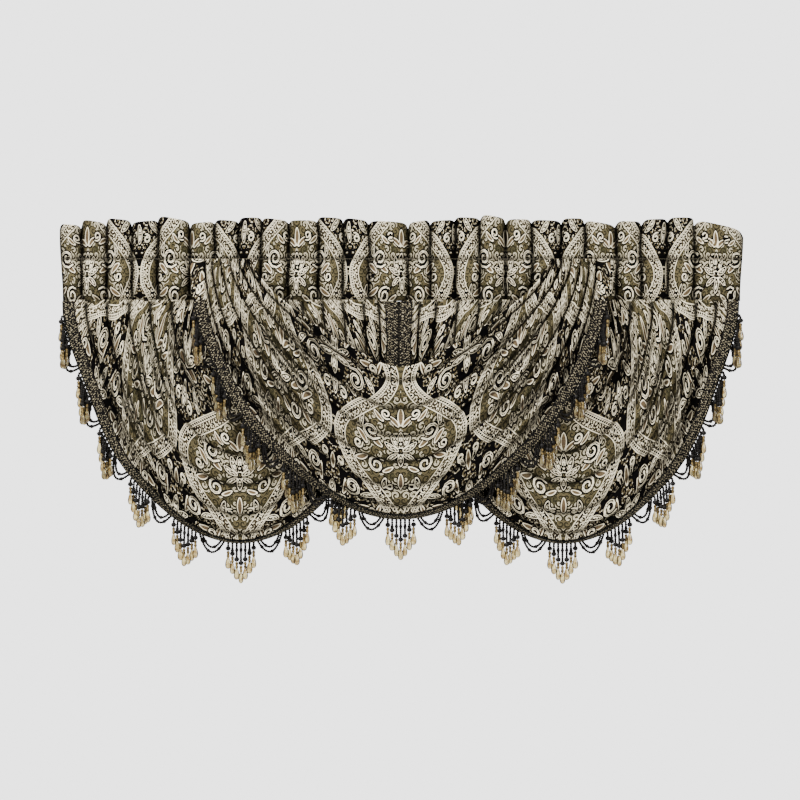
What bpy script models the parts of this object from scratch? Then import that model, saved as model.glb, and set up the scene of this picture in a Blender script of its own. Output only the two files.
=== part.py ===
# Waterfall valance: a ruffled rod pocket heading, three draped swags and their beaded braid.
# Metres, +Z up. The origin is on the rod line at the middle of the width, the room is towards -Y.

import math
from collections import namedtuple

import bmesh
import bpy
from mathutils import Vector

# Cloth and braid
CLOTH = 0.0025
FACING_CLOTH = 0.0020
BRAID_WIDTH = 0.0305
BRAID_THICKNESS = 0.0024
SEWN_GAP = 0.0005

# Heading: the pocket lies between two rows of stitching, the ruffled header stands above it
TOP_STITCH_Z = 0.0480
SEAM_Z = -0.0515
GROOVE_Y = -0.0150
FACING_Y = 0.0150
SCALLOP = 0.0070
STEPS_PER_PLEAT = 4

# A pleat's width along the rod, the height of its top over the rod line, and its depth
Pleat = namedtuple("Pleat", "width top depth")
PLEATS = [Pleat(*row) for row in (
    (0.054, 0.132, 0.017),
    (0.064, 0.140, 0.021),
    (0.061, 0.145, 0.020),
    (0.064, 0.140, 0.022),
    (0.078, 0.147, 0.023),
    (0.061, 0.137, 0.019),
    (0.059, 0.142, 0.021),
    (0.056, 0.149, 0.018),
    (0.066, 0.145, 0.022),
    (0.074, 0.142, 0.023),
    (0.061, 0.149, 0.020),
    (0.064, 0.145, 0.019),
    (0.096, 0.139, 0.024),
    (0.054, 0.140, 0.018),
    (0.061, 0.142, 0.021),
    (0.061, 0.149, 0.020),
    (0.064, 0.152, 0.022),
    (0.064, 0.145, 0.019),
    (0.071, 0.142, 0.023),
    (0.059, 0.147, 0.018),
    (0.078, 0.136, 0.023),
    (0.061, 0.140, 0.020),
    (0.064, 0.145, 0.021),
    (0.066, 0.149, 0.022),
    (0.121, 0.131, 0.020),
)]
HEADING_WIDTH = sum(pleat.width for pleat in PLEATS)

# Rows of the heading cloth: the zone, the share of the zone's height, and how full the pleats are
HeadingRow = namedtuple("HeadingRow", "zone share fullness")
HEADING_ROWS = [HeadingRow(*row) for row in (
    ("pocket", 0.00, 0.32),
    ("pocket", 0.28, 1.10),
    ("pocket", 0.72, 1.05),
    ("pocket", 1.00, 0.32),
    ("header", 0.12, 0.55),
    ("header", 0.55, 0.90),
    ("header", 1.00, 1.05),
)]

# Rows of the facing behind the pocket: the share of the pocket's height, and how far it stands back
FacingRow = namedtuple("FacingRow", "share back")
FACING_ROWS = [FacingRow(*row) for row in ((0.01, 0.0), (0.16, 1.0), (0.84, 1.0), (1.03, 0.0))]

# How far an edge of a swag lies from the middle of its top, every 30 degrees: from the shoulder
# on the left, at 0, through straight down, at 90, to the shoulder on the right, at 180
Reach = namedtuple("Reach", "at_0 at_30 at_60 at_90 at_120 at_150 at_180")

# A fold's crest as a share of the way from neckline to braid, at the two shoulders and straight
# down, and the fold's depth
Fold = namedtuple("Fold", "left down right depth")

Swag = namedtuple("Swag", (
    "axis_x top_z neck hem folds edge_y loosens_below stand_off lower_stand_off belly flat_middle"
))

SIDE_NECK = Reach(0.078, 0.060, 0.051, 0.049, 0.051, 0.060, 0.078)

SWAG_LEFT = Swag(
    axis_x=-0.396,
    top_z=SEAM_Z - SEWN_GAP - CLOTH / 4,
    neck=SIDE_NECK,
    hem=Reach(0.436, 0.434, 0.513, 0.595, 0.508, 0.432, 0.384),
    folds=[Fold(*row) for row in (
        (0.19, 0.36, 0.17, 0.020),
        (0.35, 0.54, 0.35, 0.023),
        (0.51, 0.69, 0.53, 0.021),
        (0.67, 0.83, 0.72, 0.024),
        (0.84, 0.94, 0.90, 0.019),
    )],
    edge_y=-0.018,
    loosens_below=0.012,
    stand_off=0.005,
    lower_stand_off=0.000,
    belly=0.014,
    flat_middle=0.50,
)

SWAG_RIGHT = Swag(
    axis_x=0.397,
    top_z=SEAM_Z - SEWN_GAP - CLOTH / 4,
    neck=SIDE_NECK,
    hem=Reach(0.398, 0.4465, 0.508, 0.596, 0.512, 0.432, 0.431),
    folds=[Fold(*row) for row in (
        (0.18, 0.34, 0.18, 0.021),
        (0.34, 0.52, 0.36, 0.020),
        (0.53, 0.68, 0.50, 0.024),
        (0.71, 0.82, 0.68, 0.021),
        (0.89, 0.93, 0.85, 0.022),
    )],
    edge_y=-0.018,
    loosens_below=0.012,
    stand_off=0.005,
    lower_stand_off=0.000,
    belly=0.014,
    flat_middle=0.50,
)

SWAG_CENTRE = Swag(
    axis_x=-0.002,
    top_z=TOP_STITCH_Z - 0.0005,
    neck=Reach(0.370, 0.277, 0.247, 0.265, 0.247, 0.277, 0.370),
    hem=Reach(0.515, 0.524, 0.571, 0.634, 0.570, 0.523, 0.514),
    folds=[Fold(*row) for row in (
        (0.17, 0.20, 0.16, 0.021),
        (0.36, 0.38, 0.35, 0.023),
        (0.54, 0.57, 0.55, 0.022),
        (0.73, 0.74, 0.72, 0.024),
        (0.90, 0.90, 0.91, 0.018),
    )],
    edge_y=-0.0262,
    loosens_below=0.0,
    stand_off=0.0215,
    lower_stand_off=0.0260,
    belly=0.012,
    flat_middle=0.30,
)

NECK_DEPTH = 0.010
HEM_DEPTH = 0.006
CREST_ROUNDNESS = 0.6
EDGE_FOLD_SHARE = 0.22
LOOSEN_DROP = 0.030
LOWER_DROP = 0.120
BRAID_SEEN_BELOW = 0.013
TURN_STARTS = 20

# Where the cloth is divided, in degrees round the swag and round each fold's crest
SWAG_ANGLES = (0, 2, 4.5, 9, 17, 25, 33, 42, 51, 60, 70, 80)
CREST_HALF_WIDTH = 1 / 6

# Fringe: groups of strands hang from the braid, with a loop of beads between groups
GROUP_PITCH = 0.1445
GROUPS_EACH_SIDE = 6
STRAND_PITCH = 0.0103
STRAND_LENGTHS = (0.066, 0.078, 0.091, 0.100, 0.091, 0.077, 0.065)
STRING_RADIUS = 0.0011
DROP_LENGTH = 0.027
DROP_RADIUS = 0.0043
DROP_WIDEST = 0.010
ROOT_STAND_OFF = 0.0030
STEEP_STAND_OFF = 0.0035
STEEP_STAGGER = 0.0068
STAGGER_ORDER = (-1, 0, -2, -3)
LOOP_SAG = 0.030
LOOP_ROOT_BACK = 0.0035
LOOP_BACK = 0.0075
LOOP_STEPS = 5
BRAID_OVERHANG = 0.0015
BRAID_INSET = 0.0020
TURNING_PLAY = 0.0022

# Half the length of braid that a group takes up, and where two lengths of braid meet beside one
GROUP_HALF = 4 * STRAND_PITCH
BRAID_JOIN = GROUP_HALF + 0.0040
STATION_ROOM = 0.0040

DOWN = Vector((0, 0, -1))

COLLECTION_NAME = "waterfall_valance"
COLOURS = {
    "heading": (0.33, 0.31, 0.24),
    "pocket_facing": (0.25, 0.23, 0.18),
    "swag_left": (0.36, 0.33, 0.25),
    "swag_right": (0.36, 0.33, 0.25),
    "swag_centre": (0.40, 0.37, 0.28),
    "braid": (0.07, 0.065, 0.06),
}


def clear_scene():
    for old in list(bpy.data.objects):
        bpy.data.objects.remove(old)


def smooth_step(value):
    value = min(max(value, 0.0), 1.0)
    return value * value * (3 - 2 * value)


def cloth_material(name, colour, roughness=0.85):
    material = bpy.data.materials.new(name)
    material.use_nodes = True
    shader = material.node_tree.nodes["Principled BSDF"]
    shader.inputs["Base Color"].default_value = (*colour, 1)
    shader.inputs["Roughness"].default_value = roughness
    shader.inputs["Metallic"].default_value = 0.0
    return material


def add_object(name, mesh_source, colour, collection):
    mesh = bpy.data.meshes.new(name)
    mesh_source.to_mesh(mesh)
    mesh_source.free()
    mesh.materials.append(cloth_material(name, colour))
    piece = bpy.data.objects.new(name, mesh)
    collection.objects.link(piece)
    return piece


def thicken(piece, thickness):
    solidify = piece.modifiers.new("thickness", "SOLIDIFY")
    solidify.thickness = thickness
    solidify.offset = 0
    solidify.use_even_offset = True


def sheet_from_grid(columns, rows, place):
    # A grid whose points are placed by their column and row
    sheet = bmesh.new()
    bmesh.ops.create_grid(sheet, x_segments=columns - 1, y_segments=rows - 1, size=1)
    sheet.verts.ensure_lookup_table()
    for index, vert in enumerate(sheet.verts):
        vert.co = place(index % columns, index // columns)
    return sheet


# Heading

def pleat_columns():
    # The place along the rod, the pleat and the share of its width, for every column of points
    columns = []
    left = -HEADING_WIDTH / 2
    for pleat in PLEATS:
        for step in range(STEPS_PER_PLEAT):
            share = step / STEPS_PER_PLEAT
            columns.append((left + pleat.width * share, pleat, share))
        left += pleat.width
    columns.append((left, PLEATS[-1], 1.0))
    return columns


def heading_height(row, pleat, swell):
    if row.zone == "pocket":
        return SEAM_Z + row.share * (TOP_STITCH_Z - SEAM_Z)
    top = pleat.top - SCALLOP * (1 - swell)
    return TOP_STITCH_Z + row.share * (top - TOP_STITCH_Z)


def build_heading(collection):
    columns = pleat_columns()

    def place(column, row):
        x, pleat, share = columns[column]
        swell = math.sin(math.pi * share)
        y = GROOVE_Y - pleat.depth * HEADING_ROWS[row].fullness * swell
        return Vector((x, y, heading_height(HEADING_ROWS[row], pleat, swell)))

    sheet = sheet_from_grid(len(columns), len(HEADING_ROWS), place)
    piece = add_object("heading", sheet, COLOURS["heading"], collection)
    thicken(piece, CLOTH)


def build_facing(collection):
    # The pocket's back: sewn to the heading in the grooves, and standing back between the seams
    columns = [x for x, pleat, share in pleat_columns() if share in (0.0, 1.0)]
    sewn_y = GROOVE_Y + CLOTH / 2 + SEWN_GAP + FACING_CLOTH / 2

    def place(column, row):
        facing_row = FACING_ROWS[row]
        y = sewn_y + facing_row.back * (FACING_Y - sewn_y)
        z = SEAM_Z + facing_row.share * (TOP_STITCH_Z - SEAM_Z)
        return Vector((columns[column], y, z))

    sheet = sheet_from_grid(len(columns), len(FACING_ROWS), place)
    piece = add_object("pocket_facing", sheet, COLOURS["pocket_facing"], collection)
    thicken(piece, FACING_CLOTH)


# Swags

def reach_at(reach, angle, plumb=False):
    # A smooth curve through the seven reaches; a plumb one leaves both shoulders straight down
    position = min(max(angle / 30, 0.0), 6.0)
    index = min(int(position), 5)
    share = position - index
    near, far = reach[index], reach[index + 1]
    before = reach[index - 1] if index > 0 else far if plumb else 2 * near - far
    after = reach[index + 2] if index < 5 else near if plumb else 2 * far - near
    return 0.5 * (
        2 * near
        + (far - before) * share
        + (2 * before - 5 * near + 4 * far - after) * share ** 2
        + (3 * near - before - 3 * far + after) * share ** 3
    )


def crest_share(fold, angle):
    # Where a crest lies between neckline and braid, at an angle round the swag
    side = fold.left if angle <= 90 else fold.right
    return side + (fold.down - side) * math.sin(math.radians(angle))


def between_rows(values, place):
    index = min(int(place), len(values) - 2)
    return values[index] + (values[index + 1] - values[index]) * (place - index)


def turned_back(angle):
    # The braid faces the room at the sides, and the hem turns it under along the bottom
    from_shoulder = 90 - abs(90 - angle)
    turning = smooth_step((from_shoulder - TURN_STARTS) / (90 - TURN_STARTS))
    return math.sqrt(BRAID_WIDTH ** 2 - BRAID_SEEN_BELOW ** 2) * turning


def braid_seen_width(angle):
    return math.sqrt(BRAID_WIDTH ** 2 - turned_back(angle) ** 2)


def swag_point(swag, angle, place):
    # A point of the cloth: place is 0 at the neckline, 1 at the first crest, and so on to the braid
    shares = [0.0] + [crest_share(fold, angle) for fold in swag.folds] + [1.0]
    depths = [NECK_DEPTH] + [fold.depth for fold in swag.folds] + [HEM_DEPTH]
    neck = reach_at(swag.neck, angle)
    braid = reach_at(swag.hem, angle, plumb=True) - braid_seen_width(angle)
    reach = neck + between_rows(shares, place) * (braid - neck)
    turn = math.radians(angle)
    drop = reach * math.sin(turn)

    crest = abs(math.cos(math.pi * place)) ** (2 * CREST_ROUNDNESS)
    spread = 1 - (1 - swag.flat_middle) * math.sin(turn) ** 2
    lift = between_rows(depths, place) * crest * spread
    fullness = math.sin(math.pi * place / (len(swag.folds) + 1))
    belly = swag.belly * fullness * math.sin(turn)
    loose = smooth_step((drop - swag.loosens_below) / LOOSEN_DROP)
    lower = swag.lower_stand_off * smooth_step((drop - LOOSEN_DROP) / (LOWER_DROP - LOOSEN_DROP))
    y = swag.edge_y - EDGE_FOLD_SHARE * lift * (1 - loose)
    y -= loose * (swag.stand_off + lift + belly) + lower
    return Vector((swag.axis_x - reach * math.cos(turn), y, swag.top_z - drop))


def hem_point(swag, angle):
    # The hem's edge, a braid's width on from the last row, turned back where it shows narrower
    inner = swag_point(swag, angle, len(swag.folds) + 1)
    reach = reach_at(swag.hem, angle, plumb=True)
    turn = math.radians(angle)
    y = inner.y + turned_back(angle)
    return Vector((swag.axis_x - reach * math.cos(turn), y, swag.top_z - reach * math.sin(turn)))


def swag_angles():
    return list(SWAG_ANGLES) + [90] + [180 - angle for angle in reversed(SWAG_ANGLES)]


def fold_places(fold_count):
    # Every fold has a row in its valley, and a row to each side of its crest
    places = [0.0]
    for crest in range(fold_count + 1):
        places += [crest + CREST_HALF_WIDTH, crest + 0.5, crest + 1 - CREST_HALF_WIDTH]
    return places + [fold_count + 1.0]


def build_swag(name, swag, collection):
    angles = swag_angles()
    places = fold_places(len(swag.folds))

    def place(column, row):
        if row == len(places):
            return hem_point(swag, angles[column])
        return swag_point(swag, angles[column], places[row])

    sheet = sheet_from_grid(len(angles), len(places) + 1, place)
    piece = add_object(name, sheet, COLOURS[name], collection)
    thicken(piece, CLOTH)


# Braid and fringe

class Hem:
    # A swag's hem as the cloth's own straight steps, measured along its edge

    def __init__(self, swag):
        self.swag = swag
        self.steps = []
        length = 0.0
        previous = None
        for angle in swag_angles():
            inner = swag_point(swag, angle, len(swag.folds) + 1)
            edge = hem_point(swag, angle)
            if previous is not None:
                length += (edge - previous).length
            self.steps.append((length, inner, edge))
            if angle == 90:
                self.middle = length
            previous = edge
        self.length = length

    def at(self, distance):
        # The inner line, the edge, and the directions along, out of and in front of the braid
        for start, end in zip(self.steps, self.steps[1:]):
            if distance <= end[0]:
                break
        share = (distance - start[0]) / (end[0] - start[0])
        inner = start[1].lerp(end[1], share)
        edge = start[2].lerp(end[2], share)
        along = (end[2] - start[2]).normalized()
        out = (edge - inner).normalized()
        out = (out - along * out.dot(along)).normalized()
        front = out.cross(along).normalized()
        if front.y > 0:
            front = -front
        return inner, edge, along, out, front

    def distance_below(self, drop):
        # How far along the left edge lies a given drop under the top
        for start, end in zip(self.steps, self.steps[1:]):
            start_drop = self.swag.top_z - start[2].z
            end_drop = self.swag.top_z - end[2].z
            if end_drop >= drop:
                return start[0] + (end[0] - start[0]) * (drop - start_drop) / (end_drop - start_drop)
        return self.middle


def braid_level(inner, edge):
    # The middle of the braid over the cloth: a little higher where the hem is turning under
    turned = min(max((edge.y - inner.y) / BRAID_WIDTH, 0.0), 1.0)
    return CLOTH / 2 + SEWN_GAP + BRAID_THICKNESS / 2 + TURNING_PLAY * math.sqrt(math.sin(math.pi * turned))


def braid_corners(hem, distance):
    # The braid's section: front and back, at its inner line and at its edge
    inner, edge, along, out, front = hem.at(distance)
    back_level = braid_level(inner, edge) - BRAID_THICKNESS / 2
    corners = {}
    for side, level in ((1, back_level + BRAID_THICKNESS), (-1, back_level)):
        corners[side, 1] = inner + front * level + out * BRAID_INSET
        corners[side, -1] = edge + front * level + out * BRAID_OVERHANG
    return corners


def corner_keys(face):
    return [(1 if vert.co.y < 0 else -1, 1 if vert.co.z > 0 else -1) for vert in face.verts]


def outer_wall(end_face, keys):
    # The wall of the newest step along the braid's edge
    outer = {vert for vert, key in zip(end_face.verts, keys) if key[1] == -1}
    for edge in end_face.edges:
        if set(edge.verts) == outer:
            return next(face for face in edge.link_faces if face is not end_face)
    raise ValueError("the braid has no outer wall")


def sweep_braid(trim, hem, distances):
    # A bar swept along the hem; gives its outer walls in order
    cube = bmesh.ops.create_cube(trim, size=2)
    faces = {face for vert in cube["verts"] for face in vert.link_faces}
    first = next(face for face in faces if all(vert.co.x < 0 for vert in face.verts))
    last = next(face for face in faces if all(vert.co.x > 0 for vert in face.verts))
    first_keys, keys = corner_keys(first), corner_keys(last)
    walls = []
    for face, face_keys, distance in ((first, first_keys, distances[0]), (last, keys, distances[1])):
        corners = braid_corners(hem, distance)
        for vert, key in zip(face.verts, face_keys):
            vert.co = corners[key]
    walls.append(outer_wall(last, keys))
    for distance in distances[2:]:
        last = bmesh.ops.extrude_discrete_faces(trim, faces=[last])["faces"][0]
        corners = braid_corners(hem, distance)
        for vert, key in zip(last.verts, keys):
            vert.co = corners[key]
        walls.append(outer_wall(last, keys))
    return walls


def root_triangles(trim, wall, along):
    # A wall's two halves, in order along the hem
    halves = bmesh.ops.triangulate(trim, faces=[wall])["faces"]
    return sorted(halves, key=lambda half: half.calc_center_median().dot(along))


def first_angle(face, along):
    # Where a ring's first corner goes, so that the root's far corner stays on its own side
    centre = face.calc_center_median()
    reaches = [(vert.co - centre).dot(along) for vert in face.verts]
    far = max(range(3), key=lambda index: abs(reaches[index]))
    return (0 if reaches[far] > 0 else math.pi) - far * math.tau / 3


def extrude_ring(trim, face, centre, radius, direction, along, start_angle):
    # The next ring of a three-sided strand
    ring = bmesh.ops.extrude_discrete_faces(trim, faces=[face])["faces"][0]
    first = (along - direction * along.dot(direction)).normalized()
    second = direction.cross(first)
    for index, vert in enumerate(ring.verts):
        angle = start_angle + index * math.tau / 3
        vert.co = centre + first * radius * math.cos(angle) + second * radius * math.sin(angle)
    return ring


def braid_edge(hem, distance):
    # The middle of the braid's outer wall, and the directions along, out of and in front of it
    inner, edge, along, out, front = hem.at(distance)
    return edge + front * braid_level(inner, edge) + out * BRAID_OVERHANG, along, out, front


def hang_strand(trim, root, hem, distance, length, stagger):
    # A string with a drop at its end, hanging straight down from the braid's edge
    middle, along, out, front = braid_edge(hem, distance)
    start_angle = first_angle(root, along)
    start = middle + out * ROOT_STAND_OFF
    side = Vector((out.x, 0, 0)) * STEEP_STAND_OFF
    depth = Vector((0, STEEP_STAGGER * stagger * abs(along.z), 0))
    tip = middle + DOWN * length + side + depth
    ring = extrude_ring(trim, root, start, STRING_RADIUS, (out + DOWN).normalized(), along, start_angle)
    ring = extrude_ring(trim, ring, tip - DOWN * DROP_LENGTH, STRING_RADIUS, DOWN, along, start_angle)
    ring = extrude_ring(trim, ring, tip - DOWN * DROP_WIDEST, DROP_RADIUS, DOWN, along, start_angle)
    peak = bmesh.ops.poke(trim, faces=[ring])["verts"][0]
    peak.co = tip


def join_faces(trim, end, root):
    # Carries a strand's three-sided end onto another root, corner to nearest corner
    facing = list(reversed(root.verts))
    turns = [facing[turn:] + facing[:turn] for turn in range(3)]
    corners = list(end.verts)
    nearest = min(turns, key=lambda turn: sum((a.co - b.co).length for a, b in zip(corners, turn)))
    last = bmesh.ops.extrude_discrete_faces(trim, faces=[end])["faces"][0]
    targets = dict(zip(last.verts, nearest))
    bmesh.ops.delete(trim, geom=[last, root], context="FACES_ONLY")
    bmesh.ops.weld_verts(trim, targetmap=targets)


def hang_loop(trim, root, end_root, hem, start_distance, end_distance):
    # A loop of beads from one group of strands to the next
    start, along, out, front = braid_edge(hem, start_distance)
    end, _, end_out, _ = braid_edge(hem, end_distance)
    back = Vector((0, LOOP_ROOT_BACK * abs(along.z), 0))
    start += out * ROOT_STAND_OFF + back
    end += end_out * ROOT_STAND_OFF + back
    start_angle = first_angle(root, along)
    middle_out = braid_edge(hem, (start_distance + end_distance) / 2)[2]
    sag = (DOWN + middle_out).normalized() * LOOP_SAG
    sag.y += LOOP_BACK * abs(along.z)
    points = []
    for step in range(LOOP_STEPS + 1):
        share = step / LOOP_STEPS
        points.append(start.lerp(end, share) + sag * (4 * share * (1 - share)))
    ring = root
    for index, point in enumerate(points):
        before = points[max(index - 1, 0)]
        after = points[min(index + 1, LOOP_STEPS)]
        direction = (after - before).normalized()
        across = direction.cross(front).cross(direction).normalized()
        if index == 0:
            across = (along - direction * along.dot(direction)).normalized()
            turned = start_angle
        ring = extrude_ring(trim, ring, point, STRING_RADIUS, direction, across, turned)
        if index == 0:
            arm = ring.verts[0].co - point
            next_across = direction.cross(front).cross(direction).normalized()
            turned = math.atan2(arm.dot(direction.cross(next_across)), arm.dot(next_across))
    join_faces(trim, ring, end_root)


def trim_distances(hem, start, end, centres):
    # The braid's stations: two strands to a step in a group, two steps between groups, and
    # the cloth's own steps where they are well apart from these
    stations = [start, end] + [(near + far) / 2 for near, far in zip(centres, centres[1:])]
    for centre in centres:
        stations += [centre + 2 * STRAND_PITCH * step for step in range(-2, 3)]
    bare = [step for step, _, _ in hem.steps if start < step < end]
    return sorted(stations + [
        step for step in bare if min(abs(step - other) for other in stations) > STATION_ROOM
    ])


def pick_root(roots, distance, needed_after):
    # Takes the nearest of the roots that are left, keeping enough of them for the next strands
    choice = roots[:len(roots) - needed_after]
    nearest = min(choice, key=lambda root: abs(root[0] - distance))
    del roots[:roots.index(nearest) + 1]
    return nearest[1]


def build_trim(name, hem, start, end, centres, collection):
    # One length of braid with its groups of strands and the loops between them
    trim = bmesh.new()
    stations = trim_distances(hem, start, end, centres)
    walls = sweep_braid(trim, hem, stations)
    bmesh.ops.recalc_face_normals(trim, faces=trim.faces)
    spans = list(zip(stations, stations[1:], walls))
    loop_start = None
    for centre in centres:
        first = centre - GROUP_HALF
        last = centre + GROUP_HALF
        roots = []
        for near, far, wall in spans:
            if first - SEWN_GAP < near and far < last + SEWN_GAP:
                halves = root_triangles(trim, wall, hem.at((near + far) / 2)[2])
                third = (far - near) / 3
                roots += [(near + third, halves[0]), (far - third, halves[1])]
        for strand, length in enumerate(STRAND_LENGTHS):
            distance = first + (strand + 1) * STRAND_PITCH
            root = pick_root(roots, distance, len(STRAND_LENGTHS) - strand)
            stagger = STAGGER_ORDER[strand % len(STAGGER_ORDER)]
            hang_strand(trim, root, hem, distance, length, stagger)
        if loop_start is not None:
            before = [span for span in spans if span[1] < first + SEWN_GAP][-1]
            end_root = root_triangles(trim, before[2], hem.at(first)[2])[-1]
            hang_loop(trim, loop_start[0], end_root, hem, loop_start[1], first)
        loop_start = (roots[-1][1], last)
    bmesh.ops.recalc_face_normals(trim, faces=trim.faces)
    add_object(name, trim, COLOURS["braid"], collection)


def build_swag_trims(name, swag, braid_from, left_fringe_from, right_fringe_from, collection):
    # The braid on a swag is two lengths that meet beside the lowest group of strands. It starts
    # at a drop under the swag's top, and its fringe at another, which hides no braid
    hem = Hem(swag)
    start = hem.distance_below(braid_from)
    finish = hem.length - start
    meet = hem.middle + BRAID_JOIN
    first_root = hem.distance_below(left_fringe_from)
    last_root = hem.length - hem.distance_below(right_fringe_from)
    steps = range(-GROUPS_EACH_SIDE, GROUPS_EACH_SIDE + 1)
    groups = [hem.middle + GROUP_PITCH * step for step in steps]
    first_half = [centre for centre in groups if first_root + BRAID_JOIN < centre < meet]
    second_half = [centre for centre in groups if meet < centre < last_root - BRAID_JOIN]
    build_trim(f"{name}_first", hem, start, meet, first_half, collection)
    build_trim(f"{name}_second", hem, meet + SEWN_GAP, finish, second_half, collection)


def main():
    clear_scene()
    collection = bpy.data.collections.new(COLLECTION_NAME)
    bpy.context.scene.collection.children.link(collection)
    build_heading(collection)
    build_facing(collection)
    build_swag("swag_left", SWAG_LEFT, collection)
    build_swag("swag_right", SWAG_RIGHT, collection)
    build_swag("swag_centre", SWAG_CENTRE, collection)
    build_swag_trims("braid_left", SWAG_LEFT, 0.004, 0.004, 0.200, collection)
    build_swag_trims("braid_right", SWAG_RIGHT, 0.004, 0.200, 0.004, collection)
    build_swag_trims("braid_centre", SWAG_CENTRE, 0.108, 0.108, 0.108, collection)


main()
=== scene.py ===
import math

import bmesh
import bpy
import numpy as np
from mathutils import Matrix, Vector, noise


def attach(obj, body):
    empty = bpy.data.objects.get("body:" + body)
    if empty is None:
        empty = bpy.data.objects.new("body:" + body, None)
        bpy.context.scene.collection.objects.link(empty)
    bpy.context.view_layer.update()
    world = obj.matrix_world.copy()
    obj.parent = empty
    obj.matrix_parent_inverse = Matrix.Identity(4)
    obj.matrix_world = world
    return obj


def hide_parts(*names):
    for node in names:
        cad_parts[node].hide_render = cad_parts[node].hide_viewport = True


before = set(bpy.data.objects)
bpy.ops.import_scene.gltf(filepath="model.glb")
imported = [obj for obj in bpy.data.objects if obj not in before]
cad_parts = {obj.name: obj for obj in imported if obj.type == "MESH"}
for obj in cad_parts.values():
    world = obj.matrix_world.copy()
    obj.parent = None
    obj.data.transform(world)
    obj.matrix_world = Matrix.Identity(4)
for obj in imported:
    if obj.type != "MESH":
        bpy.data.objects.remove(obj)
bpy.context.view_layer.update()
print("frame loaded")


# shapes shared by the cloth, the braid and the fringe

topStitchZ = 0.0480
seamZ = -0.0515
clothHalf = 0.00125
braidWidth = 0.0305
braidThickness = 0.0024
sewnGap = 0.0005


def smoothStep(value):
    value = np.clip(value, 0.0, 1.0)
    return value * value * (3 - 2 * value)


def lineMarks(line):
    # how far along a line of points each of them is
    return np.concatenate([[0], np.cumsum(np.linalg.norm(np.diff(line, axis=0), axis=-1))])


def pointAlong(distance, marks, line):
    return [np.interp(distance, marks, line[:, axis]) for axis in range(3)]


def reachAlong(reach, angles, plumb=False):
    # smooth curve through seven reaches, one every 30 degrees
    # a plumb one leaves both shoulders straight down
    first = reach[1] if plumb else 2 * reach[0] - reach[1]
    last = reach[5] if plumb else 2 * reach[6] - reach[5]
    line = np.array([first, *reach, last])
    position = np.clip(angles / 30, 0, 6)
    index = np.minimum(position.astype(int), 5)
    share = position - index
    before, near, far, after = (line[index + step] for step in range(4))
    return 0.5 * (
        2 * near + (far - before) * share
        + (2 * before - 5 * near + 4 * far - after) * share ** 2
        + (3 * near - before - 3 * far + after) * share ** 3
    )


sideNeck = (0.078, 0.060, 0.051, 0.049, 0.051, 0.060, 0.078)
sideTopZ = seamZ - sewnGap - clothHalf / 2

swags = {
    "left": {
        "axisX": -0.396, "topZ": sideTopZ, "neck": sideNeck,
        "hem": (0.436, 0.434, 0.513, 0.595, 0.508, 0.432, 0.384),
        # crest at the left shoulder, straight down and at the right shoulder, then the fold's depth
        "folds": (
            (0.19, 0.36, 0.17, 0.020),
            (0.35, 0.54, 0.35, 0.023),
            (0.51, 0.69, 0.53, 0.021),
            (0.67, 0.83, 0.72, 0.024),
            (0.84, 0.94, 0.90, 0.019),
        ),
        "edgeY": -0.018, "loosensBelow": 0.012, "standOff": 0.005, "lowerStandOff": 0.0,
        "belly": 0.014, "flatMiddle": 0.50, "patternDrop": 0.43, "seed": 3.1, "seenBelow": 0.0065,
    },
    "right": {
        "axisX": 0.397, "topZ": sideTopZ, "neck": sideNeck,
        "hem": (0.398, 0.4465, 0.508, 0.596, 0.512, 0.432, 0.431),
        "folds": (
            (0.18, 0.34, 0.18, 0.021),
            (0.34, 0.52, 0.36, 0.020),
            (0.53, 0.68, 0.50, 0.024),
            (0.71, 0.82, 0.68, 0.021),
            (0.89, 0.93, 0.85, 0.022),
        ),
        "edgeY": -0.018, "loosensBelow": 0.012, "standOff": 0.005, "lowerStandOff": 0.0,
        "belly": 0.014, "flatMiddle": 0.50, "patternDrop": 0.43, "seed": 8.7, "seenBelow": 0.0065,
    },
    "centre": {
        "axisX": -0.002, "topZ": topStitchZ - 0.0005,
        "neck": (0.370, 0.277, 0.247, 0.265, 0.247, 0.277, 0.370),
        "hem": (0.515, 0.524, 0.571, 0.634, 0.570, 0.523, 0.514),
        "folds": (
            (0.17, 0.20, 0.16, 0.021),
            (0.36, 0.38, 0.35, 0.023),
            (0.54, 0.57, 0.55, 0.022),
            (0.73, 0.74, 0.72, 0.024),
            (0.90, 0.90, 0.91, 0.018),
        ),
        "edgeY": -0.0262, "loosensBelow": 0.0, "standOff": 0.0215, "lowerStandOff": 0.0260,
        "belly": 0.012, "flatMiddle": 0.46, "patternDrop": 0.47, "seed": 5.4, "seenBelow": 0.0120,
    },
}

swagCloth = {
    "columns": 421,
    "rows": 215,
    "hemRows": 9,
    "neckDepth": 0.010,
    "hemDepth": 0.006,
    "crestRoundness": 0.40,
    "foldWander": 0.011,
    "shoulderPleat": 0.0055,
    "edgeFoldShare": 0.22,
    "loosenDrop": 0.030,
    "lowerDrop": 0.120,
    "turnStarts": 20,
    "creaseDepth": 0.0030,
    "rippleDepth": 0.0012,
    "vStretch": 1.10,
    "shadeLine": 0.0046,
    "shadeSoftness": 0.50,
    "shadeReach": 0.0130,
    "halfwayShade": 0.90,
    "neckShade": 0.80,
    "neckShadeReach": 0.0150,
}


def turnedBack(swag, angles):
    # the hem and its braid turn under along the bottom
    fromShoulder = 90 - np.abs(90 - angles)
    turning = smoothStep((fromShoulder - swagCloth["turnStarts"]) / (90 - swagCloth["turnStarts"]))
    return math.sqrt(braidWidth ** 2 - swag["seenBelow"] ** 2) * turning


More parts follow.
